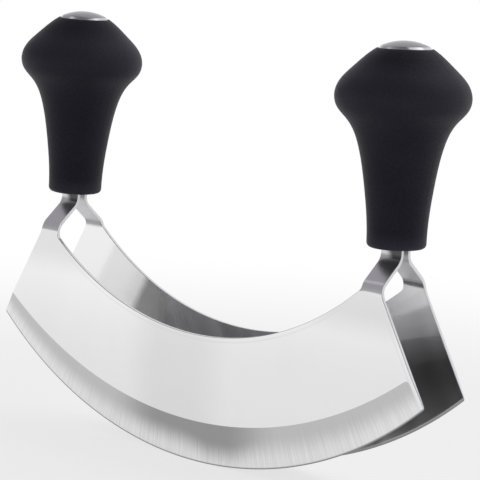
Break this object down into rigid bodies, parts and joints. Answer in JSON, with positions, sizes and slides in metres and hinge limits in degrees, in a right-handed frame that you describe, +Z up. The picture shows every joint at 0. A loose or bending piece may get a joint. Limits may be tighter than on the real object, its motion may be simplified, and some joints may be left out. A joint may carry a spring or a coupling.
{
  "type": "mezzaluna",
  "caption": "Hand chopper with parallel crescent blades of polished steel that rock on a board, and an upright black soft-grip knob handle over each end, capped in steel.",
  "frame": {"origin": "on the board, midway between the lowest points of the cutting edges", "axes": "+X along the blades, +Y from the front blade to the rear blade, +Z up through the handles"},
  "size_m": [0.1796, 0.0406, 0.1392],
  "materials": {
    "blade_steel": "satin-polished stainless steel, with a ground bevel",
    "soft_grip": "matte soft-touch elastomer with a fine grain",
    "core_plastic": "hard moulded plastic",
    "pin_steel": "plain drawn steel",
    "cap_steel": "polished stainless steel"
  },
  "bodies": {
    "root": {"front_blade": "blade_steel", "rear_blade": "blade_steel", "left_grip": "soft_grip", "right_grip": "soft_grip", "left_core": "core_plastic", "right_core": "core_plastic", "left_pin": "pin_steel", "right_pin": "pin_steel", "left_cap": "cap_steel", "right_cap": "cap_steel"}
  },
  "joints": []
}
